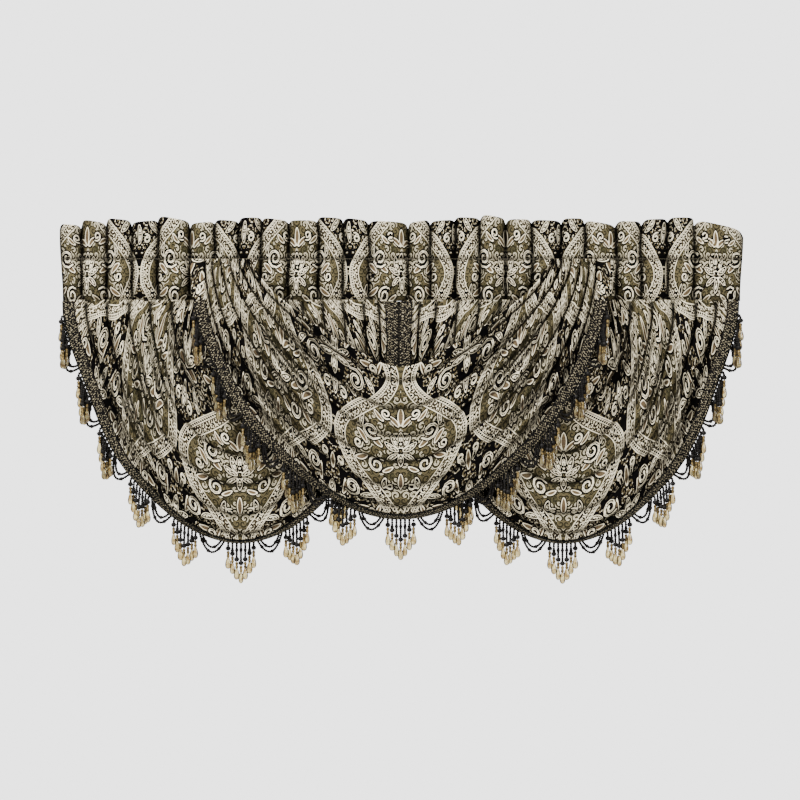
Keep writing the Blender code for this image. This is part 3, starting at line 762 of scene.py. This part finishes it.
def headingSurface():
    x, share, top, depth, rise = pleatColumns()
    swell = np.abs(np.sin(math.pi * share)) ** 0.55
    uneven = np.sin(top * 5100 + depth * 9700)  # differs from pleat to pleat
    notch = np.abs(2 * share - 1) ** 7
    topZ = top - heading["scallop"] * (1 + 0.35 * uneven) * notch - heading["foldRadius"]
    topZ = topZ + rise * (share - 0.5)
    groove, gap, radius = heading["grooveY"], heading["backGap"], heading["foldRadius"]
    pocket = topStitchZ - seamZ
    headerTop = pocket + heading["headerRun"]
    backTop = headerTop + heading["foldRun"]
    rows = [(groove - 0.0014 - depth * 0.30 * swell, seamZ - heading["lap"] + 0 * x)]
    runs = [-heading["lap"]]
    for q in np.linspace(0, 1, heading["pocketRows"]):
        fullness = 0.30 + 0.82 * math.sin(math.pi * q) ** 0.7
        rows.append((groove - depth * fullness * swell, seamZ + q * pocket + 0 * x))
        runs.append(q * pocket)
    for q in np.linspace(0, 1, heading["headerRows"] + 1)[1:]:
        fullness = np.interp(q, heading["headerPlaces"], heading["frontFullness"])
        rows.append((groove - depth * fullness * swell, topStitchZ + q * (topZ - topStitchZ)))
        runs.append(pocket + q * heading["headerRun"])
    topY, frontTop = rows[-1]
    for q in np.linspace(0, 1, heading["foldRows"] + 1)[1:]:
        angle = math.pi * q
        rows.append((topY + radius * (1 - math.cos(angle)), frontTop + radius * math.sin(angle)))
        runs.append(headerTop + q * heading["foldRun"])
    for q in np.linspace(1, 0, heading["backRows"] + 1)[1:]:
        y = groove - depth * np.interp(q, heading["headerPlaces"], heading["backFullness"]) * swell
        rows.append((y + gap + (2 * radius - gap) * q, topStitchZ + q * (topZ - topStitchZ)))
        runs.append(backTop + (1 - q) * heading["headerRun"])
    for q in np.linspace(1, 0, heading["facingRows"] + 1)[1:]:
        back = min(math.sin(math.pi * q) * 1.9, 1.0) ** 0.8
        pinch = 0.0016 * np.sin(x * 410 + 2 * np.sin(x * 37)) * (1 - 0.6 * back)
        sewn = groove - 0.24 * depth * swell * (1 - back) + gap
        y = sewn + back * (heading["facingY"] - sewn) + pinch * 0.5
        rows.append((y, seamZ + q * pocket + 0 * x))
        runs.append(backTop + heading["headerRun"] + (1 - q) * heading["facingRun"])
    y = np.array([row[0] for row in rows])
    z = np.array([row[1] for row in rows])
    wide = np.repeat(x[None, :], len(rows), axis=0)
    loose = np.clip((z - seamZ) / 0.02, 0, 1)
    drift = ripple(wide * 9, z * 22, 1.7) * 0.0040 * loose
    drift *= np.clip((heading["halfWidth"] - np.abs(wide)) / 0.03, 0, 1)
    drawn = smoothStep((np.abs(wide) - 0.76) / 0.08) * smoothStep((topStitchZ + 0.06 - z) / 0.16)
    drift -= np.sign(wide) * heading["drawnIn"] * drawn
    y = y + ripple(wide * 60, z * 26, 4.2) * 0.0022 + ripple(wide * 150, z * 40, 6.6) * 0.0008
    points = np.stack([wide + drift, y, z], axis=-1)
    flat = np.stack([
        wide * heading["fullness"],
        np.array(runs)[:, None] - (heading["patternZ"] - seamZ) + 0 * wide,
    ], axis=-1)
    # painted shade: darker in the grooves between the pleats, with the centre swag's painted neckline
    # shadow added at the end
    width = np.diff(x, append=x[-1] + 0.01) * heading["stepsPerPleat"]
    away = np.minimum(share, 1 - share) * width
    paintedShade = np.exp(-(away / 0.0034) ** 2) + 0.66 * np.exp(-(away / 0.0130) ** 2)
    paintedShade = paintedShade[None] * np.ones((len(rows), 1))
    # painted shade along the top stitch row and along the seam, where the cloth is gathered
    pinch = np.exp(-((z - topStitchZ) / 0.0050) ** 2) * 0.75
    pinch = pinch + np.exp(-((z - seamZ) / 0.0050) ** 2) * 0.6
    return points, flat, np.maximum(np.clip(paintedShade + pinch, 0, 1), neckShade(points))


def buildHeading():
    points, flat, paintedShade = headingSurface()
    mesh = sheetMesh("headingCloth", points, flat)
    addPattern(mesh, flat, paintedShade)
    piece = makeObject("headingCloth", mesh, clothMaterial, "valance_cloth", "heading", "pocket_facing")
    print("heading made", len(mesh.polygons))
    return piece, points


headingCloth, headingPoints = buildHeading()


# swags

def swagPlaces(swag):
    # closer rows where the cloth turns into a valley
    count = len(swag["folds"]) + 1
    even = np.linspace(0, count, swagCloth["rows"])
    return even + 0.035 * np.sin(4 * math.pi * even)


def foldShade(places, fromTop, share):
    # painted shade: 1 at the bottom of every fold, or at another share of it, and soft to each side
    shade = np.zeros_like(fromTop)
    for fold in range(int(places[-1])):
        valley = fromTop[np.argmin(np.abs(places - fold - share))]
        away = np.abs(fromTop - valley)
        line = np.exp(-(away / swagCloth["shadeLine"]) ** 2)
        soft = np.exp(-(away / swagCloth["shadeReach"]) ** 2)
        shade = np.maximum(shade, line + swagCloth["shadeSoftness"] * soft)
    return np.clip(shade, 0, 1)


def buildSwag(name):
    swag = swags[name]
    angles = np.linspace(0, 180, swagCloth["columns"])
    places = swagPlaces(swag)
    points = swagSurface(swag, angles, places)
    inner, edge = hemEdge(swag, angles)
    strip = np.linspace(0, 1, swagCloth["hemRows"])[1:, None, None]
    points = np.vstack([points, inner[None] + (edge - inner)[None] * strip])
    # flat cut: along the rows from the axis, and down from every crest
    # what is left over is hidden in the valleys
    steps = np.linalg.norm(np.diff(points, axis=1), axis=-1)
    along = np.concatenate([np.zeros((len(points), 1)), np.cumsum(steps, axis=1)], axis=1)
    middle = len(angles) // 2
    along -= along[:, middle:middle + 1]
    steps = np.linalg.norm(np.diff(points, axis=0), axis=-1)
    down = np.concatenate([np.zeros((1, len(angles))), np.cumsum(steps, axis=0)])
    rowPlaces = np.concatenate([places, np.full(len(points) - len(places), places[-1])])
    crestOf = np.floor(rowPlaces + 0.5).astype(int)
    crestRows = np.array([np.argmin(np.abs(places - crest)) for crest in range(crestOf[-1] + 1)])
    fromTop = down
    fromCrest = down - down[crestRows[crestOf]]
    down = down[crestRows[crestOf], middle][:, None] * swagCloth["vStretch"] + fromCrest
    drop = swag["topZ"] - points[..., 2]
    middleRows = slice(len(places)), middle
    centre = np.interp(swag["patternDrop"], drop[middleRows], down[middleRows])
    flat = np.stack([along, centre - down], axis=-1)
    # creases that run with the folds, and fine ripples
    free = smoothStep(drop / 0.08)
    rowShare = np.minimum(np.arange(len(points)) / (len(places) - 1), 1)[:, None]
    free = free * smoothStep((1 - rowShare) / 0.06)
    creases = ripple(along * 7, flat[..., 1] * 34, swag["seed"])
    ripples = ripple(along * 24, flat[..., 1] * 95, swag["seed"] + 11)
    points[..., 1] -= free * (swagCloth["creaseDepth"] * creases + swagCloth["rippleDepth"] * ripples)
    # painted shade in the fold valleys and halfway down each fold's flanks, faded near the top, with the
    # neckline's painted shadow on the side swags
    paintedShade = foldShade(places, fromTop, 0.5) * (1 - 0.2 * np.sin(np.radians(angles)) ** 2)
    halfway = np.maximum(foldShade(places, fromTop, 0.25), foldShade(places, fromTop, 0.75))
    paintedShade = np.maximum(paintedShade, swagCloth["halfwayShade"] * halfway * np.sin(np.radians(2 * angles)) ** 2)
    paintedShade = paintedShade * smoothStep(drop / 0.02 + 0.4)
    if name != "centre":
        paintedShade = np.maximum(paintedShade, neckShade(points))
    mesh = sheetMesh(f"swagCloth_{name}", points, flat)
    addPattern(mesh, flat, paintedShade)
    piece = makeObject(f"swagCloth_{name}", mesh, clothMaterial, "valance_cloth", f"swag_{name}")
    print("swag made", name, len(mesh.polygons), "flat", np.ptp(flat[..., 0]), np.ptp(flat[..., 1]))
    return piece


swagCloths = {name: buildSwag(name) for name in swags}


# braid

braid = {
    "step": 0.0026,
    "rows": 13,
    "dome": 0.0007,
    "inset": 0.0020,
    "overhang": 0.0015,
    "turningPlay": 0.0022,
    "startDrop": {"left": 0.004, "right": 0.004, "centre": 0.108},
    "meetingX": -0.0068,  # the two side swags' inner braids touch here, above the centre swag
    "meetingDrop": 0.215,
}


class HemLine:
    # a swag's hem, measured along its edge
    def __init__(self, swag):
        self.swag = swag
        self.inner, self.edge = hemEdge(swag, np.linspace(0, 180, 721))
        self.marks = lineMarks(self.edge)
        self.length = self.marks[-1]
        self.middle = self.marks[360]

    def at(self, distance):
        inner = Vector(pointAlong(distance, self.marks, self.inner))
        edge, ahead, behind = (
            Vector(pointAlong(distance + step, self.marks, self.edge)) for step in (0, 0.004, -0.004)
        )
        along = (ahead - behind).normalized()
        out = (edge - inner).normalized()
        out = (out - along * out.dot(along)).normalized()
        front = out.cross(along).normalized()
        if front.y > 0:
            front = -front
        turned = min(max((edge.y - inner.y) / braidWidth, 0.0), 1.0)
        play = braid["turningPlay"] * math.sqrt(max(math.sin(math.pi * turned), 0))
        level = clothHalf + sewnGap + braidThickness / 2 + play
        return inner, edge, along, out, front, level

    def distanceBelow(self, drop):
        drops = self.swag["topZ"] - self.edge[:361, 2]
        return float(np.interp(drop, drops, self.marks[:361]))

    def braidEdge(self, distance):
        _, edge, along, out, front, level = self.at(distance)
        return edge + front * level + out * braid["overhang"], along, out


hemLines = {name: HemLine(swag) for name, swag in swags.items()}

braidTones = {
    "dark": tone("020202"),
    "middle": tone("12100e"),
    "pale": tone("a3987c"),
    "roughness": 0.85,
    "laneWidth": 0.0061,
    "ropePitch": 0.0066,
    "threadSize": 0.0014,
    "speckScale": 210.0,
    "paleFrom": (2.66, 3.06),
}


def makeBraidMaterial():
    # chevron rows of dark thread with pale specks between them
    material, tree, shader = newMaterial("wovenBraid")
    cut = addNode(tree, "ShaderNodeUVMap", uv_map="flatCut").outputs[0]
    split = splitVector(tree, cut)
    along, across = split[0], split[1]
    lane = calc(tree, "PINGPONG", across, braidTones["laneWidth"])
    slanted = calc(tree, "MULTIPLY_ADD", lane, 0.9, along)
    rope, ribs = (
        calc(tree, "SINE", calc(tree, "MULTIPLY", way, 2 * math.pi / braidTones[pitch]))
        for way, pitch in ((slanted, "ropePitch"), (across, "laneWidth"))
    )
    crossed = calc(tree, "MULTIPLY", rope, ribs)
    threads = placeGroup(tree, weaveGroup, Place=cut, Thread=braidTones["threadSize"])
    speckle = addNoise(tree, cut, braidTones["speckScale"])
    pale = stepUp(tree, calc(tree, "MULTIPLY_ADD", speckle, 4.2, crossed), *braidTones["paleFrom"])
    base = blendTones(tree, stepUp(tree, rope, -0.5, 0.7), braidTones["dark"], braidTones["middle"])
    colour = blendTones(tree, pale, base, braidTones["pale"])
    selvedge = calc(tree, "ABSOLUTE", calc(tree, "SUBTRACT", across, braidWidth / 2))
    selvedge = stepUp(tree, selvedge, braidWidth / 2 - 0.0036, braidWidth / 2 - 0.0020)
    colour = blendTones(tree, calc(tree, "MULTIPLY", selvedge, 0.85), colour, braidTones["dark"])
    height = calc(tree, "MULTIPLY_ADD", ribs, 0.5, rope)
    addBump(tree, shader, calc(tree, "MULTIPLY_ADD", threads["Height"], 0.3, height), 0.8, 0.0008)
    feedAll(tree, shader, {
        "Base Color": colour,
        "Roughness": calc(tree, "MULTIPLY_ADD", threads["Slub"], 0.2, braidTones["roughness"] - 0.1),
        "Specular IOR Level": 0.10,
    })
    return material


braidMaterial = makeBraidMaterial()


def buildBraid(name):
    hem = hemLines[name]
    start = hem.distanceBelow(braid["startDrop"][name])
    finish = hem.length - start
    distances = np.linspace(start, finish, int((finish - start) / braid["step"]))
    shares = np.linspace(0, 1, braid["rows"])
    points = np.zeros((len(shares), len(distances), 3))
    for column, distance in enumerate(distances):
        inner, edge, _, out, front, level = hem.at(distance)
        near = inner + out * braid["inset"]
        far = edge + out * braid["overhang"]
        if name != "centre" and abs(far.x - braid["meetingX"]) < 0.02:
            hold = float(smoothStep((braid["meetingDrop"] - (seamZ - far.z)) / 0.03))
            far.x += (braid["meetingX"] - far.x) * hold
        for row, share in enumerate(shares):
            dome = braid["dome"] * (1 - (2 * share - 1) ** 4)
            lane = 0.0003 * math.cos(2 * math.pi * 3 * share)
            points[row, column] = near.lerp(far, share) + front * (level + dome - lane)
    flat = np.stack(np.meshgrid(distances, shares * braidWidth), axis=-1)
    mesh = sheetMesh(f"braidBand_{name}", points, flat)
    piece = makeObject(
        f"braidBand_{name}", mesh, braidMaterial, "beaded_braid",
        f"braid_{name}_first", f"braid_{name}_second",
    )
    band = piece.modifiers.new("bandThickness", "SOLIDIFY")
    band.thickness = braidThickness
    band.offset = 0
    band.use_even_offset = True
    print("braid made", name, round(finish - start, 3))
    return piece


braidBands = {name: buildBraid(name) for name in swags}


# beaded fringe

fringe = {
    "groupPitch": 0.1445,
    "groupsEachSide": 6,
    "strandPitch": 0.0103,
    "lengths": (0.066, 0.078, 0.091, 0.100, 0.091, 0.077, 0.065),
    "rootStandOff": 0.0030,
    "steepStandOff": 0.0035,
    "steepStagger": 0.0068,
    "staggerOrder": (-1, 0, -2, -3),
    "joinPast": 0.0040,
    "fringeFrom": {"left": (0.004, 0.200), "right": (0.200, 0.004), "centre": (0.108, 0.108)},
    "seedRadius": 0.0038,
    "seedPitch": 0.0048,
    "largerBead": 1.4,
    "facetRadius": 0.0068,
    "facetHalf": 0.0062,
    "goldRadius": 0.0041,
    "goldRises": (-0.0006, 0.0040, 0.0082),
    "dropLength": 0.0320,
    "dropRadius": 0.0074,
    "dropFlatness": 0.52,
    "loopSags": (0.0360, 0.0230),
    "loopInsets": (0.0, 0.0075),
    "loopBack": 0.0075,
    "loopRootBack": 0.0035,
    "loopSteps": 40,
    "largerEvery": 6,
}
groupHalf = 4 * fringe["strandPitch"]

beadLooks = {
    "jet": {
        "deep": tone("070504"), "pale": tone("130f0b"), "shadow": tone("020201"), "paintedFlankShade": (0.55, 0.85),
        "roughness": 0.50, "metallic": 0.0, "mottle": 300.0, "coat": 0.0, "glass": 0.0,
    },
    "gold": {
        "deep": tone("2e2410"), "pale": tone("8a7446"), "shadow": tone("140b03"), "paintedFlankShade": (0.55, 0.85),
        "roughness": 0.30, "metallic": 0.2, "mottle": 260.0, "coat": 0.1, "glass": 0.0,
    },
    "champagne": {
        "deep": tone("83693a"), "pale": tone("cfc08a"), "shadow": tone("24180a"), "paintedFlankShade": (0.30, 0.62),
        "roughness": 0.10, "metallic": 0.0, "mottle": 110.0, "coat": 0.3, "glass": 0.80,
    },
}


def makeBeadMaterial(name, look):
    # glass or metal beads whose colour changes a little from bead to bead and inside each, with painted
    # shade darkening the left and right flanks of every bead
    material, tree, shader = newMaterial(name)
    place = addNode(tree, "ShaderNodeTexCoord").outputs
    cells = addNoise(tree, place["Object"], look["mottle"], 3.0, "3D")
    shift = stepUp(tree, cells, 0.38, 0.62)
    # painted shade: the flanks facing left or right take the shadow tone and let less light through
    flank = splitVector(tree, place["Normal"])[0]
    paintedFlankShade = stepUp(tree, calc(tree, "ABSOLUTE", flank), *look["paintedFlankShade"])
    body = blendTones(tree, shift, look["deep"], look["pale"])
    addBump(tree, shader, cells, 0.15, 0.0003)
    feedAll(tree, shader, {
        "Base Color": blendTones(tree, paintedFlankShade, body, look["shadow"]),
        "Roughness": calc(tree, "MULTIPLY_ADD", cells, 0.18, look["roughness"]),
        "Metallic": look["metallic"],
        "Transmission Weight": calc(tree, "MULTIPLY_ADD", paintedFlankShade, -look["glass"], look["glass"]),
        "Specular IOR Level": 0.16,
        "Coat Weight": look["coat"],
        "Coat Roughness": 0.08,
    })
    return material


jetMaterial = makeBeadMaterial("jetBeads", beadLooks["jet"])
goldMaterial = makeBeadMaterial("goldBeads", beadLooks["gold"])
champagneMaterial = makeBeadMaterial("champagneDrops", beadLooks["champagne"])


def ballShape(sides, rings):
    ball = bmesh.new()
    bmesh.ops.create_uvsphere(ball, u_segments=sides, v_segments=rings, radius=1)
    return ball


def dropShape():
    # a flat pear drop, one unit long: narrow at its top, widest near its foot
    drop = ballShape(10, 9)
    for vert in drop.verts:
        rise = (vert.co.z + 1) / 2
        girth = math.hypot(vert.co.x, vert.co.y)
        profile = max(math.sin(math.pi * rise ** 0.74), 0.0) ** 0.62 * (1.12 - 0.40 * rise)
        swell = profile * fringe["dropRadius"] / fringe["dropLength"] / max(girth, 1e-6)
        vert.co = (vert.co.x * swell, vert.co.y * swell * fringe["dropFlatness"], rise)
    return drop


class BeadTray:
    # places and sizes of one kind of bead, kept until they are joined
    def __init__(self):
        self.places = []
        self.sizes = []

    def add(self, place, size):
        self.places.append(tuple(place))
        self.sizes.append(size)


def threadBeads(tray, line):
    # seed beads side by side along a line of points, with a larger one now and then
    coords = np.array([tuple(point) for point in line])
    marks = lineMarks(coords)
    count = max(int(marks[-1] / fringe["seedPitch"]), 1)
    radius = fringe["seedRadius"]
    for index in range(count):
        place = pointAlong((index + 0.5) / count * marks[-1], marks, coords)
        larger = fringe["largerBead"] if index % fringe["largerEvery"] == 3 else 1.0
        tray.add(place, (radius * larger, radius * larger, radius * larger * 0.9))


def hangStrand(trays, hem, distance, length, stagger):
    root, along, out = hem.braidEdge(distance)
    depth = fringe["steepStagger"] * stagger * abs(along.z)
    tip = root + Vector((out.x * fringe["steepStandOff"], depth, -length))
    turned = 0.86 + 0.28 * ((distance * 137.3) % 1.0)  # each drop hangs turned a little differently
    dropLength, gold = fringe["dropLength"], fringe["goldRadius"]
    trays["drop"].add(tip, (dropLength * turned, dropLength, dropLength))
    goldPlaces = [dropLength + rise for rise in fringe["goldRises"]]
    for index, rise in enumerate(goldPlaces):
        size = gold * (1.0 if index % 2 == 0 else 0.8)
        trays["gold"].add(tip + Vector((0, 0, rise)), (size, size, size * 1.1))
    facet = tip + Vector((0, 0, goldPlaces[-1] + gold + fringe["facetHalf"]))
    radius = fringe["facetRadius"]
    trays["facet"].add(facet, (radius, radius, fringe["facetHalf"]))
    threadBeads(trays["seed"], [root + out * 0.001, facet + Vector((0, 0, fringe["facetHalf"] * 0.8))])


def hangLoop(trays, hem, startDistance, endDistance, sag, inset):
    start, along, _ = hem.braidEdge(startDistance + inset)
    end = hem.braidEdge(endDistance - inset)[0]
    steep = abs(along.z)
    back = Vector((0, fringe["loopRootBack"] * steep, 0))
    middleOut = hem.braidEdge((startDistance + endDistance) / 2)[2]
    pull = Vector((middleOut.x, 0, middleOut.z - 1)).normalized() * sag
    pull.y += fringe["loopBack"] * steep
    shares = [step / fringe["loopSteps"] for step in range(fringe["loopSteps"] + 1)]
    line = [(start + back).lerp(end + back, share) + pull * (4 * share * (1 - share)) for share in shares]
    threadBeads(trays["seed"], line)


def groupMiddles(name, hem):
    # the groups that hang on a swag's braid, from its left shoulder to its right one
    left, right = fringe["fringeFrom"][name]
    room = groupHalf + fringe["joinPast"]
    first = hem.distanceBelow(left) + room
    last = hem.length - hem.distanceBelow(right) - room
    sides = fringe["groupsEachSide"]
    middles = [hem.middle + fringe["groupPitch"] * step for step in range(-sides, sides + 1)]
    return [middle for middle in middles if first < middle < last]


def finishBeads(name, tray, shape, material, nodes, smooth):
    mesh = bpy.data.meshes.new(name)
    joinCopies(mesh, shape, tray.places, tray.sizes)
    mesh.polygons.foreach_set("use_smooth", [smooth] * len(mesh.polygons))
    shape.free()
    return makeObject(name, mesh, material, "beaded_braid", *nodes)


def buildFringe(name):
    hem = hemLines[name]
    trays = {kind: BeadTray() for kind in ("seed", "facet", "gold", "drop")}
    middles = groupMiddles(name, hem)
    for middle in middles:
        for index, length in enumerate(fringe["lengths"]):
            distance = middle - groupHalf + (index + 1) * fringe["strandPitch"]
            stagger = fringe["staggerOrder"][index % len(fringe["staggerOrder"])]
            hangStrand(trays, hem, distance, length, stagger)
    for middle, following in zip(middles, middles[1:]):
        for sag, inset in zip(fringe["loopSags"], fringe["loopInsets"]):
            hangLoop(trays, hem, middle + groupHalf, following - groupHalf, sag, inset)
    nodes = (f"braid_{name}_first", f"braid_{name}_second")
    pieces = [
        finishBeads(f"seedBeads_{name}", trays["seed"], ballShape(6, 4), jetMaterial, nodes, True),
        finishBeads(f"facetBeads_{name}", trays["facet"], ballShape(8, 4), jetMaterial, nodes, False),
        finishBeads(f"goldBeads_{name}", trays["gold"], ballShape(8, 5), goldMaterial, nodes, True),
        finishBeads(f"champagneDrops_{name}", trays["drop"], dropShape(), champagneMaterial, nodes, True),
    ]
    faces = sum(len(piece.data.polygons) for piece in pieces)
    print("fringe made", name, len(middles), "groups,", faces, "faces")
    return pieces


fringes = {name: buildFringe(name) for name in swags}


# stitching along the pocket

stitching = {
    "pitch": 0.0046,
    "length": 0.0030,
    "radius": 0.00035,
    "thread": tone("3b3730"),
    "threadPale": tone("8d836a"),
}


def makePlainMaterial(name, scale, first, second, roughness):
    # one soft colour with another mottled into it
    material, tree, shader = newMaterial(name)
    place = addNode(tree, "ShaderNodeTexCoord").outputs["Object"]
    mottled = addNoise(tree, place, scale, dimensions="3D")
    feedAll(tree, shader, {
        "Base Color": blendTones(tree, mottled, first, second), "Roughness": roughness,
    })
    return material


def buildStitches():
    stitches = bmesh.new()
    line = headingPoints[heading["pocketRows"]]
    marks = lineMarks(line)
    reach = stitching["length"] / 2
    radius = stitching["radius"]
    for index in range(int(marks[-1] / stitching["pitch"])):
        centre = (index + 0.5) * stitching["pitch"]
        start, end = (Vector(pointAlong(centre + side * reach, marks, line)) for side in (-1, 1))
        turn = (end - start).to_track_quat("Z", "Y").to_matrix().to_4x4()
        place = (start + end) / 2 + Vector((0, -radius, 0))
        bmesh.ops.create_cone(
            stitches, cap_ends=True, segments=5, radius1=radius, radius2=radius,
            depth=2 * reach, matrix=Matrix.Translation(place) @ turn,
        )
    mesh = meshFrom(stitches, "pocketStitches")
    material = makePlainMaterial("sewingThread", 900.0, stitching["thread"], stitching["threadPale"], 0.7)
    piece = makeObject("pocketStitches", mesh, material, "valance_cloth")
    print("stitches made", len(mesh.polygons))
    return piece


pocketStitches = buildStitches()


# floor, light and camera

studio = {
    "floorZ": -1.55,
    "floorSize": 3.2,
    "floorBack": 0.45,
    "viewWidth": 1.960,
    "viewX": -0.0037,
    "viewZ": -0.2989,
    "distance": 6.5,
    "sheetY": -0.04,
    "worldGlow": 0.78,
    "seenGlow": 3.0,
    "keyPlace": (-1.9, -1.9, 2.3),
    "keySize": 0.8,
    "keyPower": 262,
    "fillPlace": (2.4, -3.0, 0.6),
    "fillSize": 2.0,
    "fillPower": 112,
    "lightTarget": (0, 0, -0.3),
    "floorTone": tone("e9e8e5"),
    "floorPaleTone": tone("f4f3f1"),
    "sensorWidth": 36,
}


def buildFloor():
    floor = bmesh.new()
    middle = Vector((0, studio["floorBack"] - studio["floorSize"] / 2, studio["floorZ"]))
    bmesh.ops.create_grid(
        floor, x_segments=1, y_segments=1, size=studio["floorSize"] / 2, matrix=Matrix.Translation(middle)
    )
    mesh = meshFrom(floor, "studioFloor")
    tones = studio["floorTone"], studio["floorPaleTone"]
    mesh.materials.append(makePlainMaterial("paleFloor", 40.0, *tones, 0.9))
    addObject("studioFloor", mesh)


def addSoftLight(kind):
    name = f"{kind}Light"
    light = bpy.data.lights.new(name, "AREA")
    light.shape = "DISK"
    light.size = studio[f"{kind}Size"]
    light.energy = studio[f"{kind}Power"]
    lamp = addObject(name, light)
    lamp.location = studio[f"{kind}Place"]
    towards = Vector(studio["lightTarget"]) - Vector(studio[f"{kind}Place"])
    lamp.rotation_euler = towards.to_track_quat("-Z", "Y").to_euler()


def setStudio():
    world = bpy.data.worlds.new("paleStudio")
    bpy.context.scene.world = world
    world.use_nodes = True
    tree = world.node_tree
    backdrop = tree.nodes["Background"]
    backdrop.inputs["Color"].default_value = (1, 1, 1, 1)
    rays = addNode(tree, "ShaderNodeLightPath").outputs
    seen = calc(tree, "MAXIMUM", rays["Is Camera Ray"], rays["Is Transmission Ray"])
    glow = studio["worldGlow"]
    strength = calc(tree, "MULTIPLY_ADD", seen, studio["seenGlow"] - glow, glow)
    feed(tree, backdrop.inputs["Strength"], strength)
    addSoftLight("key")
    addSoftLight("fill")
    camera = bpy.data.cameras.new("photoCamera")
    camera.sensor_width = studio["sensorWidth"]
    camera.lens = studio["sensorWidth"] * studio["distance"] / studio["viewWidth"]
    camera.clip_end = 50
    viewer = addObject("photoCamera", camera)
    viewer.location = (studio["viewX"], studio["sheetY"] - studio["distance"], studio["viewZ"])
    viewer.rotation_euler = (math.radians(90), 0, 0)
    bpy.context.scene.camera = viewer
    print("studio set")


buildFloor()
setStudio()
